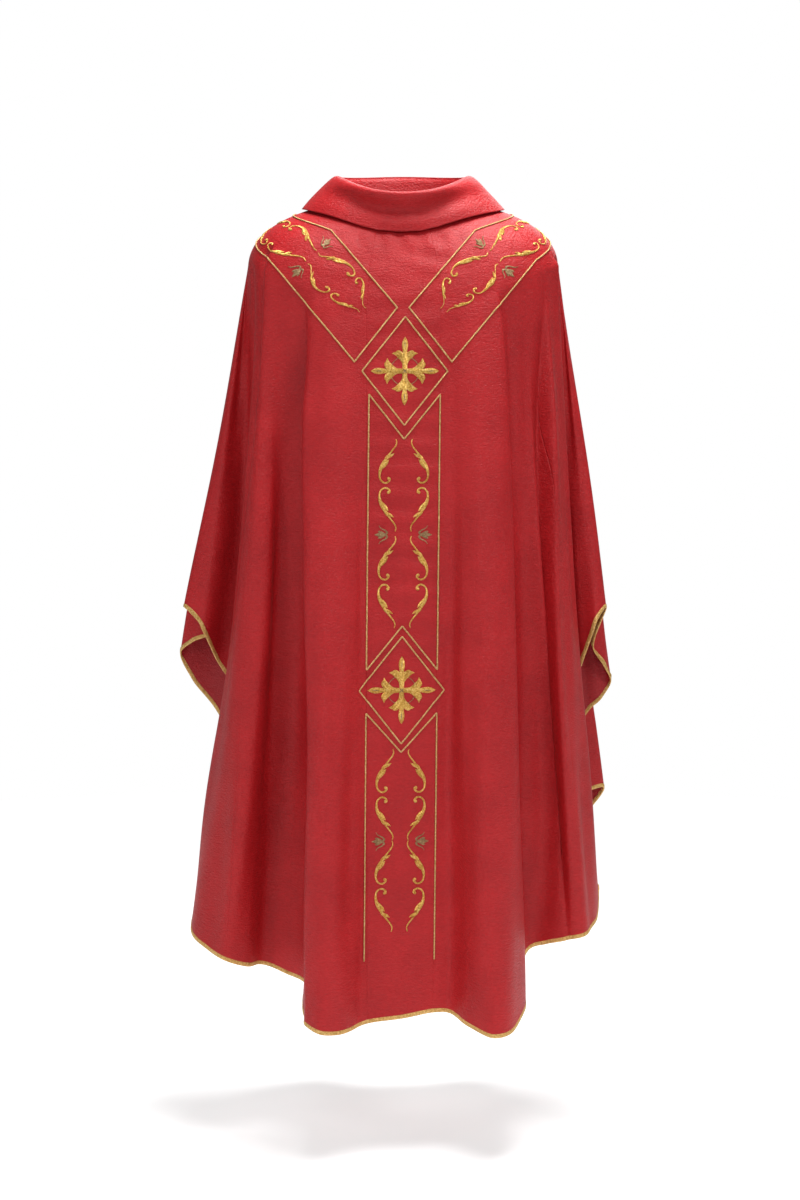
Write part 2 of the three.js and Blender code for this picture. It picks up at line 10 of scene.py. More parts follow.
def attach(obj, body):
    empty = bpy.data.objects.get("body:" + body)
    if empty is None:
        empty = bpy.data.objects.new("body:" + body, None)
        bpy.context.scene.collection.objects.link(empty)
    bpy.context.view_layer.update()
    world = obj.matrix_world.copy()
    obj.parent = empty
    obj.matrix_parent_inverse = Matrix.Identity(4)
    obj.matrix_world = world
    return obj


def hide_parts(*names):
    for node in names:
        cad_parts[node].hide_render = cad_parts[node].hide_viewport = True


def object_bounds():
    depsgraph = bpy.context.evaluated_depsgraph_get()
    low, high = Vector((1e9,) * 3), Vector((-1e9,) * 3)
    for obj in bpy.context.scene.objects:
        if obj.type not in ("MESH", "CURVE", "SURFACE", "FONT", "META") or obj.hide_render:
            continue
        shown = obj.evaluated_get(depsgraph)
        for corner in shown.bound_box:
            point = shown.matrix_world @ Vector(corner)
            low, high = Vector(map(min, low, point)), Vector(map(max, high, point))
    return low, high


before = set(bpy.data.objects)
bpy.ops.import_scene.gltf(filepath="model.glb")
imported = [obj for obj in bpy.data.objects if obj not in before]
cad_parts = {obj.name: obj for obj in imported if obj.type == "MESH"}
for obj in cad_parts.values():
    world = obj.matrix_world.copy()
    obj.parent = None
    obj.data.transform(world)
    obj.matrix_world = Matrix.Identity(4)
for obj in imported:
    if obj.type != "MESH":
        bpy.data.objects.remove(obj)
cad_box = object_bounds()

# The cloth is one surface, the CAD model's with small creases added: fall lines leave the neck,
# cross the shoulders and drop to the hem. Everything is laid on it at places (u, v): u counts them
# round the garment from centre front, v is 0 at the neckline, 1 at the chest and 2 at the hem.
# Lengths are in millimetres until a mesh is made.
MM = 0.001

NECKLINE = dict(half=96, front=88, back=72, power=2, z=(2, -28, 14))
CHEST = dict(half=243, front=152, back=122, power=2.6, z=(-95, -190, -150))
ROLL = dict(half=104, front=97, back=82, power=2.1, z=(41, 9, 46))
BEND_OUT = (0.95, 0.81, 0.85)
BEND_Z = (-25, -70, -40)

# (direction round the chest in degrees, hem x, hem y, hem z, early or late spread)
LEFT_FOLDS = [
    (20.5, 46, -190, -1245, 1),
    (26, 69, -186, -1246, 1),
    (31, 98, -222, -1258, 0.9),
    (36.5, 136, -250, -1269, 0.8),
    (41, 170, -228, -1264, 0.5),
    (44.5, 188, -180, -1242, 0.4),
    (47.5, 183, -125, -1217, 0.6),
    (51, 199, -88, -1171, 0.8),
    (56, 225, -88, -1161, 1),
    (61, 257, -106, -1152, 1.2),
    (66, 283, -98, -1146, 1.3),
    (70, 300, -75, -1137, 1.3),
    (74, 310, -40, -1122, 1.3),
    (77, 302, -12, -1064, 1.2),
    (80.5, 252, 22, -937, 1),
    (83.5, 264, 10, -796, 1),
    (86, 290, -8, -712, 1),
    (88, 308, -24, -655, 1),
    (90, 324, -8, -636, 1),
    (93, 305, 40, -700, 1),
    (95.5, 327, 55, -739, 1),
    (98, 337, 72, -759, 1),
    (101, 325, 86, -791, 1),
    (104, 302, 84, -814, 1),
    (107.5, 258, 62, -899, 1),
    (111, 286, 98, -950, 1),
    (115, 334, 138, -950, 1),
    (120, 290, 178, -1022, 1),
    (126, 226, 156, -1130, 1),
    (133, 190, 186, -1235, 1),
    (142, 147, 208, -1298, 1),
    (151, 98, 204, -1302, 1),
    (159.5, 55, 188, -1290, 1),
]
RIGHT_FOLDS = [
    (20.5, 55, -203, -1259, 1),
    (26, 77, -222, -1264, 1),
    (31, 102, -245, -1266, 0.9),
    (36.5, 128, -250, -1263, 0.8),
    (41, 151, -222, -1252, 0.8),
    (44.5, 162, -178, -1230, 0.8),
    (47.5, 155, -120, -1218, 0.9),
    (51, 183, -85, -1210, 1),
    (56, 221, -85, -1196, 1),
    (61, 247, -112, -1191, 1.2),
    (66, 277, -125, -1180, 1.3),
    (70, 312, -100, -1166, 1.3),
    (74, 335, -50, -1141, 1.3),
    (77, 324, -12, -1079, 1.2),
    (80.5, 245, 22, -937, 1),
    (83.5, 260, 12, -790, 1),
    (86, 291, -2, -731, 1),
    (88, 321, -32, -663, 1),
    (90, 345, -8, -636, 1),
    (93, 318, 35, -684, 1),
    (95.5, 340, 52, -698, 1),
    (98, 362, 75, -719, 1),
    (101, 345, 92, -762, 1),
    (104, 304, 86, -816, 1),
    (107.5, 250, 62, -915, 1),
    (111, 288, 98, -982, 1),
    (115, 324, 136, -1002, 1),
    (120, 286, 172, -1070, 1),
    (126, 224, 154, -1160, 1),
    (133, 182, 184, -1242, 1),
    (142, 135, 208, -1300, 1),
    (151, 92, 204, -1304, 1),
    (159.5, 55, 188, -1290, 1),
]
CENTRE_FRONT = (0, 0, -195, -1253, 1)
CENTRE_BACK = (180, 0, 180, -1288, 1)
FOLD_START = 0.8
FOLDS = np.array(
    [CENTRE_FRONT, *LEFT_FOLDS, CENTRE_BACK]
    + [(360 - a, -x, y, z, s) for a, x, y, z, s in reversed(RIGHT_FOLDS)],
    float,
)
ALL = len(FOLDS)
HALF = len(LEFT_FOLDS) + 1
FRONT_SEAM = 1
SIDE_SEAM = 11
REAR_SEAM = 27
BACK_SEAM = HALF - 1
SHOULDER_LINE = 19
NORMAL_STEP = 0.02  # how far apart places are compared to find a direction

CLOTH = 1.4
BRAID_WIDTH = 6.5
BRAID_THICKNESS = 2.6


# ---- the surface of the cloth ----
def mix(a, b, t):
    """a where t is 0, b where t is 1."""
    return a + (b - a) * t


def bump(x, middle, width):
    """A smooth hill of height 1 round middle."""
    return np.exp(-(((x - middle) / width) ** 2))


def around(angle, levels):
    """A value that passes smoothly between its side, front and back levels round the garment."""
    side, front, back = levels
    c = np.cos(np.radians(angle))
    return mix(side, np.where(c > 0, front, back), c * c)


def on_ring(ring, angle):
    """Points of a rounded ring round the neck or chest."""
    x, y = np.sin(np.radians(angle)), -np.cos(np.radians(angle))
    depth = np.where(y < 0, ring["front"], ring["back"])
    total = abs(x / ring["half"]) ** ring["power"] + abs(y / depth) ** ring["power"]
    radius = total ** (-1 / ring["power"])
    return np.stack([x * radius, y * radius, around(angle, ring["z"])], -1)


def fall_lines(u):
    """Direction, hem point and spread at places u, by a centripetal spline through the folds."""
    start = np.floor(u).astype(int)

    def fold(i):
        row = FOLDS[i % ALL].copy()
        row[..., 0] += 360 * (i // ALL)
        return row

    p = [fold(start + k) for k in (-1, 0, 1, 2)]
    knots = [np.zeros(u.shape)]
    for a, b in zip(p, p[1:]):
        knots.append(knots[-1] + np.sqrt(np.linalg.norm((b - a)[..., 1:4], axis=-1)))
    t = mix(knots[1], knots[2], u - start)

    def blend(a, b, i, j):
        return mix(a, b, ((t - knots[i]) / (knots[j] - knots[i]))[..., None])

    a = [blend(p[i], p[i + 1], i, i + 1) for i in range(3)]
    b = [blend(a[i], a[i + 1], i, i + 2) for i in range(2)]
    line = blend(b[0], b[1], 1, 2)
    return line[..., 0], line[..., 1:4], line[..., 4]


def smooth_cloth(u, v):
    """The cloth's points at places u, v, without its small creases."""
    u, v = np.broadcast_arrays(np.asarray(u, float), np.asarray(v, float))
    angle, hem, spread = fall_lines(u)
    chest = on_ring(CHEST, angle)
    neck = on_ring(NECKLINE, angle)
    out = around(angle, BEND_OUT)[..., None]
    bend = mix(neck, chest, out)
    bend[..., 2] = around(angle, BEND_Z)
    t = np.clip(v, 0, 1)[..., None]
    yoke = mix(mix(neck, bend, t), mix(bend, chest, t), t)
    s = np.clip(v - 1, 0, None)
    share = np.stack([s**spread, s**FOLD_START, s], -1)
    return np.where(v[..., None] <= 1, yoke, mix(chest, hem, share))


def outward(u, v, surface=smooth_cloth):
    """The direction square out of the cloth at places u, v."""
    step = NORMAL_STEP
    across = surface(u + step, v) - surface(u - step, v)
    down = surface(u, np.minimum(v + step, 2)) - surface(u, np.maximum(v - step, 0))
    normal = np.cross(down, across)
    return normal / np.linalg.norm(normal, axis=-1, keepdims=True)


def ripple(x, z, length, turn, phase):
    """Long soft waves over the front of the cloth, in millimetres of x and z."""
    along = x * math.cos(turn) + z * math.sin(turn)
    return np.sin(2 * math.pi * along / length + phase)


# The centre column leans a little as the garment hangs.
COLUMN_LEAN = 0.0099
COLUMN_AT_ORIGIN = 5.1
COLUMN_HALF = 54


def column_centre(z):
    """The column's middle line at height z."""
    return COLUMN_AT_ORIGIN + COLUMN_LEAN * z


def rise(x, start, end):
    """0 before start, 1 after end, and smooth between them."""
    t = np.clip((x - start) / (end - start), 0, 1)
    return t * t * (3 - 2 * t)


# Sharp folds, where the cloth turns back beside the edge of a lobe: which way round it lies back
# from the edge, the edge's fall line near the chest and near the hem, counted that way round, the
# rows where it starts and ends, its depth in millimetres and how many fall lines it reaches over.
SHARP_FOLDS = [
    dict(hand=1, top=14.2, foot=13.8, start=(0.9, 1.0), end=(1.7, 2.3), depth=18, reach=0.9),
    dict(hand=-1, top=11.0, foot=12.3, start=(0.72, 0.82), end=(1.3, 1.7), depth=14, reach=0.7),
    dict(hand=-1, top=7.2, foot=5.0, start=(1.0, 1.2), end=(1.8, 2.1), depth=34, reach=1.5),
    dict(hand=-1, top=-11.6, foot=-10.2, start=(1.0, 1.25), end=(1.75, 2.05), depth=26, reach=1.7),
]
LIP = 0.35  # how far a fold's edge stands out, as a share of the fold's depth
LIP_REACH = 1.2
EDGE_SHARPNESS = 0.07
EDGE_RUN = (0.9, 1.7)  # the rows over which an edge passes from its top line to its foot line


def signed(u):
    """A place round the cloth, counted both ways from the middle of the front."""
    return (u + ALL / 2) % ALL - ALL / 2


def sharp_fold(u, v, fold):
    """How far a fold sets the cloth back, and below 0 on the lip along its edge."""
    edge = mix(fold["top"], fold["foot"], rise(v, *EDGE_RUN))
    beyond = signed(u * fold["hand"]) - edge
    past_edge = 1 / (1 + np.exp(-np.clip(beyond, -1, 1) / EDGE_SHARPNESS))
    set_back = past_edge * np.exp(-np.clip(beyond, 0, None) / fold["reach"])
    lip = (1 - past_edge) * LIP * np.exp(-((beyond / LIP_REACH) ** 2))
    share = rise(v, *fold["start"]) * (1 - rise(v, *fold["end"]))
    return fold["depth"] * share * (set_back - lip)


# Broad swells on the wearer's right: the ridge between two folds stands full, and the edge beside
# the arm is drawn in.
SWELLS = [
    dict(line=-10.3, width=1.0, height=15, start=(1.1, 1.4), end=(1.7, 2)),
    dict(line=-13.8, width=0.8, height=-20, start=(0.95, 1.15), end=(1.5, 1.9)),
]


def creases(u, v):
    """How far the cloth stands proud of its smooth surface."""
    point = smooth_cloth(u, v)
    x, y, z = point[..., 0], point[..., 1], point[..., 2]
    fall = np.clip(v - 1, 0, 1)
    front = 1 / (1 + np.exp(y / 15))
    # Stitching draws the column up into small puckers between its outlines.
    aside = abs(x - column_centre(z))
    inside = 1 / (1 + np.exp((aside - COLUMN_HALF) / 4))
    pucker = ripple(x, z, 61, 1.25, 0.4) * ripple(x, z, 83, -1.1, 1.0) + 0.6 * ripple(x, z, 37, 1.5, 2.0)
    high = 1.5 * inside * pucker * bump(z, -560, 420)
    high = high - 1.5 * bump(aside, COLUMN_HALF - 3, 5) * ripple(x, z, 29, 1.5, 0.7) ** 2 * bump(z, -600, 380)
    # Slow waves between the main folds, growing as the cloth hangs free.
    waves = ripple(u * 40, z, 97, 0.12, 0.3) + 0.7 * ripple(u * 40, z, 61, -0.1, 1.7)
    calm = 1 - 0.7 * bump(signed(u), 0, 6)
    high = high + 2.6 * calm * waves * fall**0.7 * (1 - inside * front)
    for swell in SWELLS:
        share = rise(v, *swell["start"]) * (1 - rise(v, *swell["end"]))
        ridge = bump(signed(u), swell["line"], swell["width"])
        high = high + swell["height"] * share * ridge
    # Drag lines across the chest, from one shoulder to the other.
    drag = ripple(x, z, 34, 1.35, 0.0) * bump(z, -85, 40)
    drag = drag + 0.6 * ripple(x, z, 47, 1.75, 1.2) * bump(z, -160, 60)
    high = high + 1.3 * front * drag * (0.5 + 0.5 * ripple(x, z, 150, 0.2, 0.9)) * bump(x, 10, 150)
    # The cloth gathers under the collar's front.
    gather = ripple(x, z, 31, 0.1, 0.8) * bump(z, -62, 16) * bump(x, 0, 80)
    high = high + 1.8 * front * gather
    return high - sum(sharp_fold(u, v, fold) for fold in SHARP_FOLDS)


def cloth(u, v, height=0.0):
    """Points of the creased cloth, height above it."""
    lift = creases(u, v) + height
    return smooth_cloth(u, v) + outward(u, v) * np.asarray(lift)[..., None]


def creased_normal(u, v):
    """The direction square out of the creased cloth."""
    return outward(u, v, cloth)


# ---- meshes ----
def make(name, points, faces, material, smooth=True, uv=None):
    """A mesh object from points in millimetres."""
    mesh = bpy.data.meshes.new(name)
    mesh.from_pydata((np.asarray(points, float) * MM).tolist(), [], faces)
    mesh.validate()
    mesh.materials.append(material)
    if smooth:
        mesh.polygons.foreach_set("use_smooth", [True] * len(mesh.polygons))
    if uv is not None:
        layer = mesh.uv_layers.new(name="thread")
        corners = np.zeros(len(mesh.loops), int)
        mesh.loops.foreach_get("vertex_index", corners)
        layer.data.foreach_set("uv", (np.asarray(uv, float) * MM)[corners].ravel())
    obj = bpy.data.objects.new(name, mesh)
    bpy.context.scene.collection.objects.link(obj)
    return obj


def grid_faces(rows, columns, wrap_columns=False, offset=0):
    """Four-sided faces between neighbours in a grid of points."""
    faces = []
    last = columns if wrap_columns else columns - 1
    for r in range(rows - 1):
        for c in range(last):
            d = (c + 1) % columns
            faces.append(
                (offset + r * columns + c, offset + (r + 1) * columns + c,
                 offset + (r + 1) * columns + d, offset + r * columns + d)
            )
    return faces


# ---- materials ----
def node_tree(name):
    """A new material with its nodes and its shader."""
    material = bpy.data.materials.new(name)
    material.use_nodes = True
    tree = material.node_tree
    return material, tree, tree.nodes["Principled BSDF"]


def add(tree, kind, **settings):
    """A node, with settings given by the name of its input or property."""
    node = tree.nodes.new(kind)
    for key, value in settings.items():
        if key in node.inputs:
            node.inputs[key].default_value = value
        else:
            setattr(node, key, value)
    return node


def ramp(tree, source, stops):
    """A colour that follows source through stops (place, colour)."""
    node = add(tree, "ShaderNodeValToRGB")
    while len(node.color_ramp.elements) < len(stops):
        node.color_ramp.elements.new(0.5)
    for element, (place, colour) in zip(node.color_ramp.elements, stops):
        element.position = place
        element.color = (*colour, 1)
    tree.links.new(source, node.inputs["Fac"])
    return node.outputs["Color"]


def bump_chain(tree, shader, layers):
    """Bumps laid over each other: (height socket, distance in metres, strength)."""
    normal = None
    for height, distance, strength in layers:
        node = add(tree, "ShaderNodeBump", Distance=distance, Strength=strength)
        tree.links.new(height, node.inputs["Height"])
        if normal is not None:
            tree.links.new(normal, node.inputs["Normal"])
        normal = node.outputs["Normal"]
    tree.links.new(normal, shader.inputs["Normal"])


def scaled(tree, source, scale):
    """Coordinates multiplied by scale."""
    node = add(tree, "ShaderNodeMapping")
    node.inputs["Scale"].default_value = scale
    tree.links.new(source, node.inputs["Vector"])
    return node.outputs["Vector"]


def red_cloth(name, deep, middle, light, sheen):
    """Fine wool-blend cloth: uneven yarns, a faint crosswise slub and a soft sheen."""
    material, tree, shader = node_tree(name)
    where = add(tree, "ShaderNodeTexCoord").outputs["Object"]
    # Slubs are long across the cloth and short down it.
    slubs = add(tree, "ShaderNodeTexNoise", Scale=1.0, Detail=4.0, Roughness=0.6)
    tree.links.new(scaled(tree, where, (150, 150, 380)), slubs.inputs["Vector"])
    cloud = add(tree, "ShaderNodeTexNoise", Scale=14.0, Detail=3.0, Roughness=0.55)
    tree.links.new(where, cloud.inputs["Vector"])
    both = add(tree, "ShaderNodeMath", operation="MULTIPLY_ADD")
    both.inputs[1].default_value = 0.45
    tree.links.new(cloud.outputs["Fac"], both.inputs[0])
    half = add(tree, "ShaderNodeMath", operation="MULTIPLY")
    half.inputs[1].default_value = 0.55
    tree.links.new(slubs.outputs["Fac"], half.inputs[0])
    tree.links.new(half.outputs[0], both.inputs[2])
    colour = ramp(tree, both.outputs[0], [(0.32, deep), (0.5, middle), (0.68, light)])
    tree.links.new(colour, shader.inputs["Base Color"])
    yarn = add(tree, "ShaderNodeTexNoise", Scale=1.0, Detail=2.0, Roughness=0.5)
    tree.links.new(scaled(tree, where, (1400, 1400, 1900)), yarn.inputs["Vector"])
    crepe = add(tree, "ShaderNodeTexNoise", Scale=1.0, Detail=1.0, Roughness=0.5)
    tree.links.new(scaled(tree, where, (430, 430, 560)), crepe.inputs["Vector"])
    heights = [
        (yarn.outputs["Fac"], 0.0005, 0.8),
        (crepe.outputs["Fac"], 0.001, 0.7),
        (slubs.outputs["Fac"], 0.0016, 0.8),
    ]
    bump_chain(tree, shader, heights)
    shader.inputs["Roughness"].default_value = 0.42
    shader.inputs["Specular IOR Level"].default_value = 0.3
    shader.inputs["Sheen Weight"].default_value = sheen
    shader.inputs["Sheen Roughness"].default_value = 0.45
    shader.inputs["Sheen Tint"].default_value = (1.0, 0.75, 0.72, 1)
    return material


def gold_stitch(name, dark, middle, light, pitch, roughness, metallic):
    """Satin stitch: threads laid side by side across each shape, in thread coordinates."""
    material, tree, shader = node_tree(name)
    thread = add(tree, "ShaderNodeUVMap", uv_map="thread").outputs["UV"]
    lines = add(tree, "ShaderNodeTexWave", wave_type="BANDS", bands_direction="DIAGONAL")
    lines.inputs["Scale"].default_value = 1 / pitch
    lines.inputs["Distortion"].default_value = 0.6
    lines.inputs["Detail"].default_value = 1.0
    tree.links.new(thread, lines.inputs["Vector"])
    uneven = add(tree, "ShaderNodeTexNoise", Scale=420.0, Detail=2.0)
    where = add(tree, "ShaderNodeTexCoord").outputs["Object"]
    tree.links.new(where, uneven.inputs["Vector"])
    colour = ramp(tree, uneven.outputs["Fac"], [(0.3, dark), (0.5, middle), (0.72, light)])
    tree.links.new(colour, shader.inputs["Base Color"])
    bump_chain(tree, shader, [(lines.outputs["Fac"], 0.0003, 0.7), (uneven.outputs["Fac"], 0.0004, 0.4)])
    shader.inputs["Roughness"].default_value = roughness
    shader.inputs["Metallic"].default_value = metallic
    return material


RED = red_cloth("red_cloth", (0.35, 0.005, 0.008), (0.43, 0.008, 0.011), (0.51, 0.012, 0.016), 0.03)
# The inside of the cloth is a darker copy of the same red: painted shade for the inner faces, which lie in
# shade.
SHADED_INSIDE = red_cloth("red_inside_painted_shade", (0.33, 0.009, 0.012), (0.37, 0.012, 0.016), (0.42, 0.016, 0.02), 0.06)
GOLD = gold_stitch(
    "gold_thread", (0.50, 0.24, 0.03), (0.78, 0.46, 0.09), (0.95, 0.72, 0.25),
    pitch=0.0007, roughness=0.34, metallic=0.55)
BRONZE = gold_stitch(
    "bronze_thread", (0.20, 0.12, 0.05), (0.34, 0.21, 0.09), (0.50, 0.34, 0.17),
    pitch=0.0007, roughness=0.45, metallic=0.3)
CORD_GOLD = gold_stitch(
    "gold_cord", (0.48, 0.27, 0.08), (0.66, 0.41, 0.15), (0.84, 0.60, 0.28),
    pitch=0.0012, roughness=0.42, metallic=0.35)
BRAID_GOLD = gold_stitch(
    "gold_braid", (0.48, 0.25, 0.05), (0.68, 0.40, 0.11), (0.88, 0.60, 0.24),
    pitch=0.0014, roughness=0.42, metallic=0.35)


# ---- panels ----
COLUMNS_PER_FOLD = 9
SEAM_ROUNDING = 0.2  # how far the cloth dips into a sewn seam


def panel_columns(start, end):
    """Places across a panel, closer together beside its seams."""
    inner = np.linspace(start, end, round((end - start) * COLUMNS_PER_FOLD) + 1)
    near = np.array([0.02, 0.05])
    return np.concatenate([[start], start + near, inner[1:-1], end - near[::-1], [end]])


PANEL_ROWS = np.concatenate([np.linspace(0, 1, 40, endpoint=False), 1 + np.linspace(0, 1, 150) ** 1.1])


def panel(node, start, end, hem_inset=BRAID_WIDTH * 0.6):
    """One panel as a closed shell: its outside, its inside and the edges between them."""
    columns = panel_columns(start, end)
    u, v = np.meshgrid(columns, PANEL_ROWS)
    span = np.linalg.norm(smooth_cloth(u, v) - smooth_cloth(np.full_like(u, start), v), axis=-1)
    other = np.linalg.norm(smooth_cloth(u, v) - smooth_cloth(np.full_like(u, end), v), axis=-1)
    dip = SEAM_ROUNDING * (np.exp(-span / 1.6) + np.exp(-other / 1.6))
    surface = cloth(u, v)
    normal = creased_normal(u, v)
    outside = surface - normal * dip[..., None]
    inside = surface - normal * (CLOTH + 0.3 * dip)[..., None]
    rows, count = u.shape
    points = np.concatenate([outside.reshape(-1, 3), inside.reshape(-1, 3)])
    size = rows * count
    faces = grid_faces(rows, count)
    back = [(a, d, c, b) for a, b, c, d in grid_faces(rows, count, offset=size)]
    rim = [r * count for r in range(rows)]
    rim += [(rows - 1) * count + c for c in range(1, count)]
    rim += [r * count + count - 1 for r in range(rows - 2, -1, -1)]
    rim += list(range(count - 2, 0, -1))
    edges = [(a, a + size, b + size, b) for a, b in zip(rim, rim[1:] + rim[:1])]
    obj = make(node, points, faces + back + edges, RED)
    # The inside faces take the darker red, which is painted shade.
    obj.data.materials.append(SHADED_INSIDE)
    inner = len(faces)
    marks = np.zeros(len(obj.data.polygons), int)
    marks[inner:inner + len(back)] = 1
    obj.data.polygons.foreach_set("material_index", marks)
    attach(obj, "root")
    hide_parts(node)
    return obj


def inward_from_hem(u):
    """The direction up the cloth from its hem."""
    along = smooth_cloth(u + 0.05, np.full_like(u, 2.0)) - smooth_cloth(u - 0.05, np.full_like(u, 2.0))
    direction = np.cross(creased_normal(u, np.full_like(u, 2.0)), along)
    return direction / np.linalg.norm(direction, axis=-1, keepdims=True)


def hem_braid():
    """A narrow woven braid folded round the hem: an oval section swept all the way round."""
    u = np.linspace(0, ALL, ALL * 14, endpoint=False)
    v = np.full_like(u, 2.0)
    hem, normal, inward = cloth(u, v), creased_normal(u, v), inward_from_hem(u)
    length = np.concatenate([[0], np.cumsum(np.linalg.norm(np.diff(hem, axis=0), axis=1))])
    middle = hem + inward * (BRAID_WIDTH / 2 - 0.4) - normal * (CLOTH / 2)
    turns = np.linspace(0, 2 * math.pi, 14, endpoint=False)
    rings, uv = [], []
    for turn in turns:
        wide = np.sign(math.cos(turn)) * abs(math.cos(turn)) ** 0.6 * BRAID_WIDTH / 2
        thick = np.sign(math.sin(turn)) * abs(math.sin(turn)) ** 0.8 * BRAID_THICKNESS / 2
        pinch = 1 + 0.06 * np.sin(length / 2.2)
        rings.append(middle + inward * wide + normal * (thick * pinch)[:, None])
        uv.append(np.stack([length, np.full_like(length, wide + BRAID_WIDTH)], -1))
    count = len(u)
    points = np.stack(rings).reshape(-1, 3)
    faces = []
    for r in range(len(turns)):
        s = (r + 1) % len(turns)
        for c in range(count):
            d = (c + 1) % count
            faces.append((r * count + c, r * count + d, s * count + d, s * count + c))
    obj = make("hem_braid", points, faces, BRAID_GOLD, uv=np.concatenate(uv))
    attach(obj, "root")
    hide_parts("hem_braid")
    return obj


# ---- collar ----
COLLAR_EDGE = 0.25
COLLAR_THICKNESS = 2.2
COLLAR_COLUMNS = 220


def spline(points, samples):
    """A uniform Catmull-Rom curve through points, with its ends doubled."""
    p = np.concatenate([2 * points[:1] - points[1:2], points, 2 * points[-1:] - points[-2:-1]])
    place = np.linspace(0, len(points) - 1, samples)
    i = np.minimum(place.astype(int), len(points) - 2)
    t = (place - i).reshape(-1, *[1] * (points.ndim - 1))
    a, b, c, d = p[i], p[i + 1], p[i + 2], p[i + 3]
    return 0.5 * (2 * b + (c - a) * t + (2 * a - 5 * b + 4 * c - d) * t**2 + (3 * b - a - 3 * c + d) * t**3)


def collar():
    """The rolled collar: up from its turned-down edge, over the roll and down to the neckline."""
    u = np.linspace(0, ALL, COLLAR_COLUMNS, endpoint=False)
    angle = fall_lines(u)[0]
    roll = on_ring(ROLL, angle)
    out = roll * (1, 1, 0)
    out /= np.linalg.norm(out, axis=-1, keepdims=True)
    turn = np.radians(angle)
    # In front the roll leans out over the collar's face.
    overhang = (np.clip(np.cos(turn), 0, 1) ** 2)[:, None]
    sag = 1.2 * np.sin(3 * turn + 0.6) + 0.9 * np.sin(7 * turn + 1.9)
    edge = cloth(u, np.full_like(u, COLLAR_EDGE), 5.0) + np.stack([0 * u, 0 * u, sag * 0.8], -1)
    neck = on_ring(NECKLINE, angle) - out + (0, 0, 2)
    inner = roll - out * 7 - (0, 0, 7)
    section = np.stack([
        edge,
        mix(edge, roll, 0.25) + out * (3 + 0.8 * sag[:, None]),
        mix(edge, roll, 0.55) + out * (5 - 4 * overhang + 0.9 * sag[:, None]),
        mix(edge, roll, 0.84) + out * (6 + 14 * overhang),
        mix(edge, roll, 0.98) + out * (3 + 20 * overhang) + (0, 0, 1),
        roll + out * (-3 + 13 * overhang) + (0, 0, 1),
        roll - out * 4 - (0, 0, 1.5),
        inner,
        mix(neck, inner, 0.5),
        neck,
    ])
    path = spline(section, 64)
    rows = len(path)
    along = np.gradient(path, axis=0)
    sideways = np.stack([np.cos(turn), np.sin(turn), 0 * turn], -1)
    normal = np.cross(along, sideways[None])
    normal /= np.linalg.norm(normal, axis=-1, keepdims=True)
    # The cloth narrows to a rounded edge at both ends of the section.
    ends = np.minimum(np.arange(rows), np.arange(rows)[::-1])
    thick = COLLAR_THICKNESS * np.sqrt(np.clip(1 - (1 - ends / 2.0).clip(0, 1) ** 2, 0.04, 1))
    far = path + normal * thick[:, None, None]
    count = COLLAR_COLUMNS
    size = rows * count
    points = np.concatenate([path.reshape(-1, 3), far.reshape(-1, 3)])
    faces = [(a, d, c, b) for a, b, c, d in grid_faces(rows, count, True)]
    faces += grid_faces(rows, count, True, offset=size)
    for c in range(count):
        d = (c + 1) % count
        faces.append((c, d, d + size, c + size))
        low = (rows - 1) * count
        faces.append((low + d, low + c, low + c + size, low + d + size))
    obj = make("collar", points, faces, RED)
    outer = bmesh.new()
    outer.from_mesh(obj.data)
    bmesh.ops.recalc_face_normals(outer, faces=outer.faces)
    outer.to_mesh(obj.data)
    outer.free()
    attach(obj, "root")
    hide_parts("collar_fall", "collar_stand")
    return obj


# ---- finding places on the front and on the back ----
NET_STEP_U = 0.1
NET_STEP_V = 0.02
LOOK_FROM = 900  # a distance in front of the garment, outside all of its cloth


class Net:
    """A fine net of one face of the cloth, to lay things on it as they are seen square on."""

    def __init__(self, start, end, side):
        self.side = side
        u = np.linspace(start, end, round((end - start) / NET_STEP_U) + 1)
        v = np.linspace(0, 2, round(2 / NET_STEP_V) + 1)
        self.u, self.v = [a.ravel() for a in np.meshgrid(u, v)]
        self.points = smooth_cloth(self.u, self.v)
        quads = np.array(grid_faces(len(v), len(u)))
        self.faces = np.concatenate([quads[:, [0, 1, 2]], quads[:, [0, 2, 3]]])
        self.tree = BVHTree.FromPolygons(self.points.tolist(), self.faces.tolist())

    def place(self, x, z):
        """The place (u, v) that is seen at x, z."""
        start = Vector((x, LOOK_FROM * self.side, z))
        hit, _, index, _ = self.tree.ray_cast(start, Vector((0, -self.side, 0)))
        if hit is None:
            raise ValueError(f"no cloth at x {x:.0f}, z {z:.0f}")
        a, b, c = self.faces[index]
        pa, pb, pc = self.points[a], self.points[b], self.points[c]
        weights = np.linalg.lstsq(np.stack([pb - pa, pc - pa], 1), np.array(hit) - pa, rcond=None)[0]
        wb, wc = weights
        wa = 1 - wb - wc
        return (wa * self.u[a] + wb * self.u[b] + wc * self.u[c],
                wa * self.v[a] + wb * self.v[b] + wc * self.v[c])

    def places(self, xs, zs):
        """The places seen at several points."""
        found = np.array([self.place(x, z) for x, z in zip(np.ravel(xs), np.ravel(zs))])
        return found[:, 0], found[:, 1]


FRONT = Net(-13, 13, -1)
BACK = Net(HALF - 11, HALF + 11, 1)


def on_column(net):
    """Turns [across the column, height z] into places on the cloth."""
    return lambda across, z: net.places(column_centre(np.asarray(z)) + across, z)


# ---- couched cords ----
CORD_RADIUS = 1.15
CORD_STEP = 1.1
TWIST_PITCH = 5.0
CORD_SIDES = 8


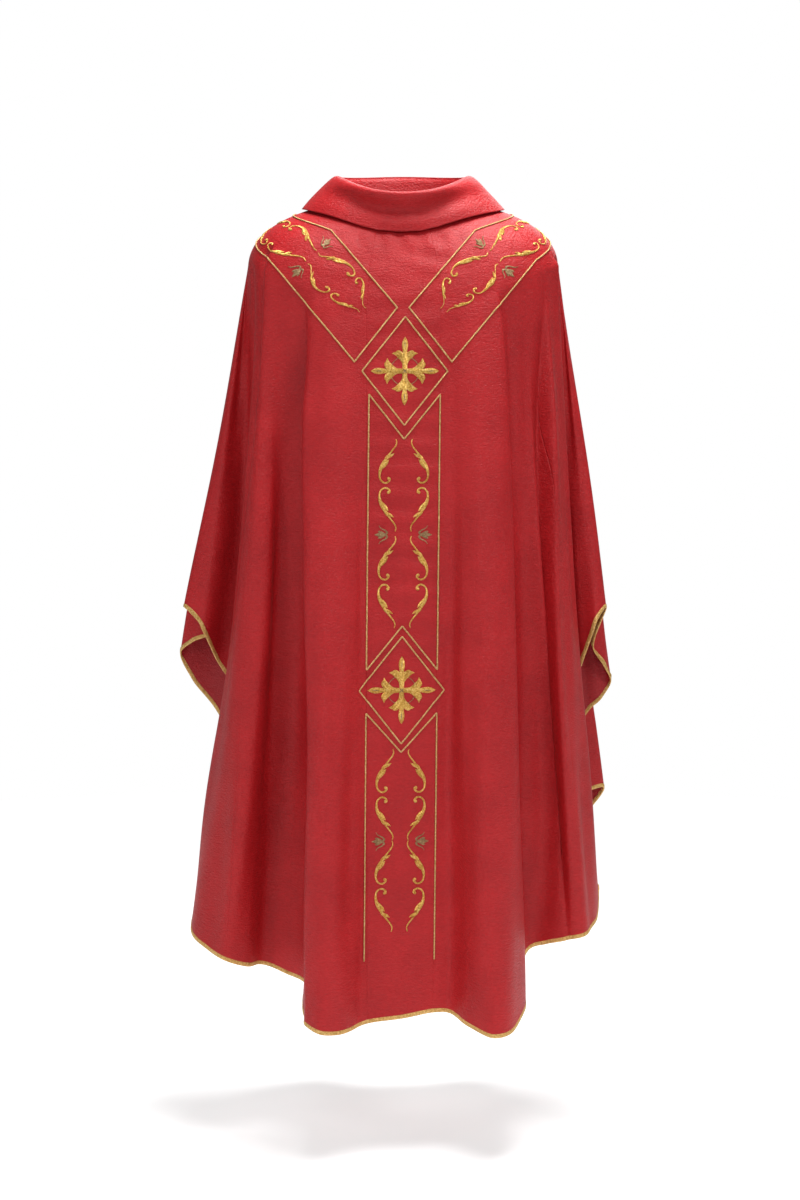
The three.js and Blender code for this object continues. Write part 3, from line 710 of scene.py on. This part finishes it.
def corners_to_path(corners, closed, step, rounding=2.5):
    """Evenly spaced points along straight lines between corners, with the corners eased."""
    ends = np.array(corners + corners[:1] if closed else corners, float)
    points = []
    for a, b in zip(ends, ends[1:]):
        count = max(2, int(np.linalg.norm(b - a) / step))
        points.append(mix(a, b, np.linspace(0, 1, count, endpoint=False)[:, None]))
    path = np.concatenate(points + ([] if closed else [ends[-1:]]))
    for _ in range(round(rounding / step)):
        before, after = np.roll(path, 1, 0), np.roll(path, -1, 0)
        eased = (before + 2 * path + after) / 4
        if not closed:
            eased[0], eased[-1] = path[0], path[-1]
        path = eased
    return path


def cord_mesh(name, node, u, v, closed, material, radius=CORD_RADIUS, lift=0.1):
    """Two strands of thread twisted together, couched along places on the cloth."""
    middle, normal = cloth(u, v, radius * 0.7 + lift), creased_normal(u, v)
    along = np.roll(middle, -1, 0) - np.roll(middle, 1, 0)
    if not closed:
        along[0], along[-1] = middle[1] - middle[0], middle[-1] - middle[-2]
    along /= np.linalg.norm(along, axis=1, keepdims=True)
    aside = np.cross(along, normal)
    aside /= np.linalg.norm(aside, axis=1, keepdims=True)
    up = np.cross(aside, along)
    steps = np.linalg.norm(np.diff(middle, axis=0), axis=1)
    length = np.concatenate([[0], np.cumsum(steps)])
    total = length[-1] + (np.linalg.norm(middle[0] - middle[-1]) if closed else 0)
    turns = round(total / TWIST_PITCH)
    twist = length / total * turns * math.pi
    rings, uv = [], []
    for k in range(CORD_SIDES):
        angle = 2 * math.pi * k / CORD_SIDES
        size = radius * (0.86 + 0.2 * abs(np.cos(angle + twist)))
        sideways = aside * (size * math.cos(angle))[:, None]
        rings.append(middle + sideways + up * (size * 0.8 * math.sin(angle))[:, None])
        uv.append(np.stack([length, np.full_like(length, angle * radius)], -1))
    count = len(u)
    faces = []
    last = count if closed else count - 1
    for k in range(CORD_SIDES):
        n = (k + 1) % CORD_SIDES
        for c in range(last):
            d = (c + 1) % count
            faces.append((k * count + c, n * count + c, n * count + d, k * count + d))
    if not closed:
        faces.append(tuple(k * count for k in range(CORD_SIDES))[::-1])
        faces.append(tuple(k * count + count - 1 for k in range(CORD_SIDES)))
    obj = make(name, np.stack(rings).reshape(-1, 3), faces, material, uv=np.concatenate(uv))
    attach(obj, "root")
    if node:
        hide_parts(node)
    return obj


CROSS_Z = {"upper": -262, "lower": -747}
DIAMOND = dict(half_width=65, half_height=82)
UPPER_COLUMN = dict(shoulder=-297, notch=-365, corner=-716, apex=-649)
LOWER_COLUMN = dict(shoulder=-782, notch=-842, end=-1162)


def column_cord(node, net, corners, closed):
    """A cord along straight lines between corners on the column."""
    path = corners_to_path(corners, closed, CORD_STEP)
    u, v = on_column(net)(path[:, 0], path[:, 1])
    return cord_mesh(node, node, u, v, closed, CORD_GOLD)


def face_cords(face, net):
    """The diamonds and the outlines of both lengths of a face's column."""
    w, h = DIAMOND["half_width"], DIAMOND["half_height"]
    for level, z in CROSS_Z.items():
        corners = [(0, z + h), (w, z), (0, z - h), (-w, z)]
        column_cord(f"{face}_{level}_diamond_cord", net, corners, True)
    w, c = COLUMN_HALF, UPPER_COLUMN
    upper = [(-w, c["shoulder"]), (0, c["notch"]), (w, c["shoulder"]),
             (w, c["corner"]), (0, c["apex"]), (-w, c["corner"])]
    column_cord(f"{face}_upper_column_cord", net, upper, True)
    c = LOWER_COLUMN
    lower = [(-w, c["end"]), (-w, c["shoulder"]), (0, c["notch"]), (w, c["shoulder"]), (w, c["end"])]
    column_cord(f"{face}_lower_column_cord", net, lower, False)


# ---- shoulder bands ----
BAND_EDGE = {
    "outer": dict(corners=[(74, -248), (204, -92)], ridge=0.66),
    "inner": dict(corners=[(9, -166), (110, -48)], ridge=0.3),
}
BAND_WIDTH = 106
BAND_LENGTH = 295


def band_edge(net, hand, edge):
    """Places along one edge of a band from its lower end to the shoulder line, and their shares."""
    path = corners_to_path([(hand * x, z) for x, z in edge["corners"]], False, CORD_STEP, 0)
    u, v = net.places(path[:, 0], path[:, 1])
    line = SHOULDER_LINE if hand > 0 else -SHOULDER_LINE
    if net is BACK:
        line = SHOULDER_LINE if hand > 0 else ALL - SHOULDER_LINE
    over = np.linspace(0, 1, 90)[1:]
    u = np.concatenate([u, mix(u[-1], line, over)])
    v = np.concatenate([v, mix(v[-1], edge["ridge"], over)])
    length = np.concatenate([[0], np.cumsum(np.linalg.norm(np.diff(smooth_cloth(u, v), axis=0), axis=1))])
    return u, v, length / length[-1]


def band_cord(node, hand):
    """The cord round a whole shoulder band, over the shoulder from front to back."""
    feet = [BAND_EDGE["inner"]["corners"][0], BAND_EDGE["outer"]["corners"][0]]
    foot = corners_to_path([(hand * x, z) for x, z in feet], False, CORD_STEP, 0)[1:-1]
    turn = 0 if hand > 0 else ALL
    parts = []
    for net, key, flip in [(FRONT, None, False), (FRONT, "outer", False), (BACK, "outer", True),
                           (BACK, None, True), (BACK, "inner", False), (FRONT, "inner", True)]:
        if key is None:
            u, v = net.places(foot[:, 0], foot[:, 1])
        else:
            u, v, _ = band_edge(net, hand, BAND_EDGE[key])
        if net is FRONT:
            u = u + turn
        if flip:
            u, v = u[::-1], v[::-1]
        if flip and key is not None:
            u, v = u[1:], v[1:]
        parts.append((u, v))
    u = np.concatenate([p[0] for p in parts])
    v = np.concatenate([p[1] for p in parts])
    return cord_mesh(node, node, u, v, True, CORD_GOLD)


def on_band(net, hand):
    """Turns [aside of the band's middle line, along it from its lower end] into places."""
    edges = [band_edge(net, hand, BAND_EDGE[key]) for key in ("inner", "outer")]

    def places(aside, along):
        share = np.ravel(along) / BAND_LENGTH
        (iu, iv), (ou, ov) = [
            (np.interp(share, s, u), np.interp(share, s, v)) for u, v, s in edges
        ]
        across = 0.5 + np.ravel(aside) / BAND_WIDTH
        return mix(iu, ou, across), mix(iv, ov, across)

    return places


# ---- embroidery ----
STROKE_SIDES = 9


class Stitches:
    """Padded satin stitch: strokes with a domed section, gathered into one mesh."""

    def __init__(self):
        self.flat, self.height, self.uv, self.faces = [], [], [], []
        self.count = 0

    def stroke(self, points, widths, height, base=0.0, samples=26):
        """A stroke along points [across, up] whose half-width and padding follow widths."""
        table = np.column_stack([np.array(points, float), np.array(widths, float)])
        line = spline(table, samples)
        path, half = line[:, :2], np.maximum(line[:, 2], 0.12)
        along = np.gradient(path, axis=0)
        along /= np.linalg.norm(along, axis=1, keepdims=True)
        aside = np.stack([-along[:, 1], along[:, 0]], -1)
        length = np.concatenate([[0], np.cumsum(np.linalg.norm(np.diff(path, axis=0), axis=1))])
        shares = np.sin(np.linspace(-math.pi / 2, math.pi / 2, STROKE_SIDES))
        fullness = np.minimum(1, half / max(widths)) ** 0.5
        for share in shares:
            self.flat.append(path + aside * (half * share)[:, None])
            self.height.append(base + height * fullness * math.sqrt(max(0, 1 - share * share)))
            self.uv.append(np.stack([length + abs(share) * half * 0.8, half * share], -1))
        self.flat.append(path)
        self.height.append(np.full(samples, base - 0.3))
        self.uv.append(np.stack([length, half], -1))
        rows = STROKE_SIDES + 1
        for r in range(rows):
            s = (r + 1) % rows
            for c in range(samples - 1):
                a, b = self.count + r * samples + c, self.count + s * samples + c
                self.faces.append((a, b, b + 1, a + 1))
        start = [self.count + r * samples for r in range(rows)]
        self.faces.append(tuple(start))
        self.faces.append(tuple(i + samples - 1 for i in reversed(start)))
        self.count += rows * samples

    def ball(self, centre, radius, height):
        """A small round knot."""
        x, y = centre
        self.stroke([(x - radius, y), (x - radius * 0.5, y), (x + radius * 0.5, y), (x + radius, y)],
                    [radius * 0.35, radius, radius, radius * 0.35], height, samples=12)

    def lay(self, name, node, to_places, material, slot, lift=0.1):
        """Lay the strokes on the cloth as one piece."""
        flat = np.concatenate(self.flat)
        u, v = to_places(flat[:, 0], flat[:, 1])
        height = np.concatenate(self.height) + lift
        points = cloth(u, v, height)
        obj = make(name, points, self.faces, material, uv=np.concatenate(self.uv))
        shell = bmesh.new()
        shell.from_mesh(obj.data)
        bmesh.ops.recalc_face_normals(shell, faces=shell.faces)
        shell.to_mesh(obj.data)
        shell.free()
        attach(obj, "root")
        if node:
            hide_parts(node)
        return obj


def turned(points, quarter):
    """Points turned about the middle by quarters of a turn."""
    c, s = round(math.cos(quarter * math.pi / 2)), round(math.sin(quarter * math.pi / 2))
    return [(x * c - y * s, x * s + y * c) for x, y in points]


def mirrored(points):
    """Points on the other side of their middle line."""
    return [(x, -y) for x, y in points]


def cross_stitches():
    """A cross whose arms open into a pair of curled leaves with a long pointed bud beyond them."""
    s = Stitches()
    for arm in range(4):
        bud = [(27, 0), (33, 0), (39.5, 0), (46, 0), (51.5, 0)]
        s.stroke(turned(bud, arm), [3.0, 3.9, 4.7, 3.4, 0.3], 1.5)
        for flip in (lambda p: p, mirrored):
            horn = flip([(12, 1.5), (18.5, 4.2), (23.5, 8.8), (26.4, 13.8), (26.6, 19.4)])
            s.stroke(turned(horn, arm), [2.4, 3.7, 3.8, 2.7, 0.3], 1.5)
            leaf = flip([(20, 2.5), (25.5, 5.6), (29, 9.6), (29.6, 13.4)])
            s.stroke(turned(leaf, arm), [2.4, 3.0, 2.2, 0.6], 1.9)
        s.stroke(turned([(0.5, 0), (8, 0), (15, 0), (22, 0), (29, 0)], arm), [3.5, 3.9, 4.6, 5.4, 2.9], 2.1)
    return s


def cross_lines():
    """The brown cross couched over the middle, and the vein of each bud."""
    s = Stitches()
    for arm in range(4):
        s.stroke(turned([(0, 0), (1.6, 1.6), (3.2, 3.2)], arm), [0.6, 0.6, 0.3], 0.6, base=2.0, samples=8)
        s.stroke(turned([(34, 0), (39, 0), (45, 0)], arm), [0.2, 0.8, 0.2], 0.4, base=1.4, samples=10)
    return s


def scroll_leaf(s, flip):
    """One leaf of a scroll pair: [aside, along], from its thin tip to its curled end."""
    def way(points):
        return [(x, y * flip) for x, y in points]

    stem = [(12.4, 70), (11.2, 65), (12.8, 59.8), (17, 54), (22, 47.5), (27, 40), (31.5, 33),
            (35.2, 25), (36.8, 17), (35.6, 9.5), (31.5, 4.9), (26.6, 3.9), (22.8, 6.2),
            (21.6, 9.6), (23.6, 11.4)]
    widths = [0.7, 0.9, 1.0, 1.1, 1.4, 2.1, 2.6, 2.5, 1.7, 1.3, 1.25, 1.3, 1.5, 1.9, 1.6]
    s.stroke(way(stem), widths, 1.5, samples=64)
    s.stroke(way([(28.5, 40), (24.5, 43.4), (19.5, 45.4), (14.8, 48.4)]), [1.6, 2.7, 2.1, 0.3], 1.6)
    s.stroke(way([(35.2, 24), (31.5, 29), (27, 34), (22.6, 39.2)]), [1.2, 2.8, 2.7, 0.3], 1.7)
    s.ball((23.2, 10.6 * flip), 2.1, 1.8)


def scrolls():
    """A pair of leaves, one the other's mirror image."""
    s = Stitches()
    scroll_leaf(s, 1)
    scroll_leaf(s, -1)
    return s


def tulip():
    """A three-pointed bud with two thin sepals, its point away from the middle line."""
    s = Stitches()
    s.stroke([(25, 0), (31, 0), (37, 0), (43.8, 0)], [1.2, 3.2, 3.0, 0.2], 1.3)
    for way in (1, -1):
        side_petal = [(29, 1.5 * way), (33, 3.2 * way), (36, 4.6 * way), (38.5, 5.0 * way)]
        s.stroke(side_petal, [1.2, 1.9, 1.5, 0.3], 1.2)
        s.stroke([(26, 1.2 * way), (24.4, 3.2 * way), (27.4, 6.6 * way), (32, 8.8 * way),
                  (35.2, 11 * way), (36.9, 14 * way)], [1.3, 1.4, 1.0, 0.8, 0.6, 0.5], 1.1)
    return s


RING_RADIUS = 22
RING_CORD_RADIUS = 0.55


def ring_cord(name, node, net, z):
    """The thin cord couched in a circle round a cross's middle."""
    turn = np.linspace(0, 2 * math.pi, 130, endpoint=False)
    u, v = on_column(net)(RING_RADIUS * np.cos(turn), z + RING_RADIUS * np.sin(turn))
    obj = cord_mesh(name, node, u, v, True, BRONZE, radius=RING_CORD_RADIUS, lift=0.0)
    return obj


def face_crosses(face, net):
    """A face's two crosses, with their couching and rings."""
    to_places = on_column(net)
    for level, z in CROSS_Z.items():
        def here(across, up, z=z):
            return to_places(across, z + up)

        node = f"{face}_{level}_cross"
        cross_stitches().lay(node, node, here, GOLD, "gold_thread")
        cross_lines().lay(f"{node}_couching", None, here, BRONZE, "bronze_thread")
        ring_cord(f"{node}_ring", f"{node}_ring", net, z)


def motifs(run, names, pairs, bud, to_places, in_cad=True):
    """Two pairs of scrolls and a bud on both sides of a run's middle line."""
    for name, hand in zip(names, (-1, 1)):
        for k, middle in enumerate(pairs, 1):
            piece = f"{run}_{name}_scrolls_{k}"
            scrolls().lay(piece, piece if in_cad else None,
                          lambda a, b, m=middle: to_places(hand * a, m + b), GOLD, "gold_thread")
        piece = f"{run}_{name}_tulip"
        tulip().lay(piece, piece if in_cad else None,
                    lambda a, b: to_places(hand * a, bud + b), BRONZE, "bronze_thread")


PAIRS = {"upper_column": ((-435, -582), -510), "lower_column": ((-907, -1048), -979)}
BAND_PAIRS = (76, 222)
BAND_BUD = 149


def embroidery():
    """Every cord, cross, scroll and tulip, front and back."""
    for face, net in (("front", FRONT), ("back", BACK)):
        face_cords(face, net)
        face_crosses(face, net)
        behind = "" if face == "front" else "back_"
        in_cad = face == "front"
        for run, (pairs, bud) in PAIRS.items():
            motifs(behind + run, ("right", "left"), pairs, bud, on_column(net), in_cad)
        for name, hand in (("left", 1), ("right", -1)):
            run = f"{behind}{name}_band"
            motifs(run, ("inner", "outer"), BAND_PAIRS, BAND_BUD, on_band(net, hand), in_cad)
    band_cord("left_shoulder_band_cord", 1)
    band_cord("right_shoulder_band_cord", -1)


# ---- the studio ----
EYE_DISTANCE = 4.0
EYE_HEIGHT = -0.26
PICTURE_HEIGHT = 1.902  # what the picture spans at the garment's middle
PICTURE_CENTRE = (-0.005, 0, -0.625)
FLOOR_RADIUS = 3.2
FLOOR_FADE = (1.0, 2.8)  # where the floor starts and ends growing brighter
FLOOR_BELOW = 0.16  # the garment hangs this far above the floor
FLOOR_GLOW = (0.45, 1.0)
FLOOR_COLOUR = (0.9, 0.0)
ROOM_LIGHT = 0.17
SENSOR_HEIGHT = 36
# Each soft box: its place, with the height above the garment's top, its size and its power.
LIGHTS = {
    "top_box": ((0.3, -0.1, 1.5), (1.8, 0.8), 76),
    "key_box": ((2.4, -2.9, 1.0), (0.9, 1.0), 31),
    "front_box": ((-0.4, -3.6, 1.2), (1.2, 1.0), 17),
    "left_box": ((-2.8, -2.2, 0.2), (0.6, 1.4), 20),
    "back_box": ((0.6, 3.2, 1.2), (2.2, 2.0), 30),
}


def pale_floor(height):
    """A round pale floor that grows brighter outwards, so that it has no visible edge."""
    material, tree, shader = node_tree("pale_paper")
    shader.inputs["Emission Color"].default_value = (1, 1, 1, 1)
    shader.inputs["Roughness"].default_value = 0.9
    distance = add(tree, "ShaderNodeVectorMath", operation="LENGTH")
    tree.links.new(add(tree, "ShaderNodeTexCoord").outputs["Object"], distance.inputs[0])
    for socket, levels in (("Emission Strength", FLOOR_GLOW), ("Base Color", FLOOR_COLOUR)):
        fade = add(tree, "ShaderNodeMapRange", interpolation_type="SMOOTHSTEP")
        for key, value in zip(("From Min", "From Max", "To Min", "To Max"), (*FLOOR_FADE, *levels)):
            fade.inputs[key].default_value = value
        tree.links.new(distance.outputs["Value"], fade.inputs["Value"])
        tree.links.new(fade.outputs["Result"], shader.inputs[socket])
    turns = np.linspace(0, 2 * math.pi, 96, endpoint=False)
    points = np.stack([np.cos(turns), np.sin(turns), 0 * turns], -1) * FLOOR_RADIUS / MM
    floor = make("floor", points, [tuple(range(len(turns)))], material, smooth=False)
    floor.location = (0, 0, height)


def white_room():
    """The room beyond the floor is seen white, and lights the garment faintly."""
    world = bpy.data.worlds.new("studio")
    world.use_nodes = True
    room = world.node_tree
    faint = room.nodes["Background"]
    faint.inputs["Strength"].default_value = ROOM_LIGHT
    seen = add(room, "ShaderNodeBackground", Strength=1.0)
    for background in (faint, seen):
        background.inputs["Color"].default_value = (1, 1, 1, 1)
    choice = add(room, "ShaderNodeMixShader")
    room.links.new(add(room, "ShaderNodeLightPath").outputs["Is Camera Ray"], choice.inputs["Fac"])
    room.links.new(faint.outputs["Background"], choice.inputs[1])
    room.links.new(seen.outputs["Background"], choice.inputs[2])
    room.links.new(choice.outputs["Shader"], room.nodes["World Output"].inputs["Surface"])
    bpy.context.scene.world = world


def soft_box(name, place, size, power, target):
    """A rectangular light that faces the garment's middle."""
    light = bpy.data.lights.new(name, "AREA")
    light.shape = "RECTANGLE"
    light.size, light.size_y = size
    light.energy = power
    obj = bpy.data.objects.new(name, light)
    obj.location = place
    obj.rotation_euler = (target - Vector(place)).to_track_quat("-Z", "Y").to_euler()
    bpy.context.scene.collection.objects.link(obj)


def photo_camera():
    """The camera, at the photo's viewing angle."""
    camera = bpy.data.cameras.new("camera")
    camera.sensor_fit = "VERTICAL"
    camera.sensor_height = SENSOR_HEIGHT
    camera.lens = SENSOR_HEIGHT * EYE_DISTANCE / PICTURE_HEIGHT
    obj = bpy.data.objects.new("camera", camera)
    obj.location = (0, -EYE_DISTANCE, EYE_HEIGHT)
    look = Vector(PICTURE_CENTRE) - Vector(obj.location)
    obj.rotation_euler = look.to_track_quat("-Z", "Y").to_euler()
    bpy.context.scene.collection.objects.link(obj)
    bpy.context.scene.camera = obj


def studio(box):
    """The floor, the room, the lights and the camera, set out round the garment's box."""
    low, high = box
    pale_floor(low[2] - FLOOR_BELOW)
    white_room()
    middle = Vector((0, 0, (low[2] + high[2]) / 2))
    for name, ((x, y, above), size, power) in LIGHTS.items():
        soft_box(name, (x, y, high[2] + above), size, power, middle)
    photo_camera()
    bpy.context.scene.view_settings.view_transform = "Standard"


# ---- the garment ----
def panels():
    """Each panel, with a flat size and area listed for it; neither is used here."""
    layout = [
        ("front_centre_panel", -FRONT_SEAM, FRONT_SEAM, (0.12, 1.27), 0.137),
        ("front_left_panel", FRONT_SEAM, SIDE_SEAM, (0.44, 1.31), 0.35),
        ("left_side_panel", SIDE_SEAM, REAR_SEAM, (0.72, 1.24), 0.34),
        ("back_left_panel", REAR_SEAM, BACK_SEAM, (0.46, 1.34), 0.29),
        ("back_centre_panel", BACK_SEAM, ALL - BACK_SEAM, (0.12, 1.33), 0.135),
        ("back_right_panel", ALL - BACK_SEAM, ALL - REAR_SEAM, (0.46, 1.34), 0.29),
        ("right_side_panel", ALL - REAR_SEAM, ALL - SIDE_SEAM, (0.80, 1.27), 0.39),
        ("front_right_panel", ALL - SIDE_SEAM, ALL - FRONT_SEAM, (0.42, 1.30), 0.37),
    ]
    braid = hem_braid()
    for node, start, end, flat, area in layout:
        cloth_piece = panel(node, start, end)
    collar()


panels()
embroidery()
studio(cad_box)
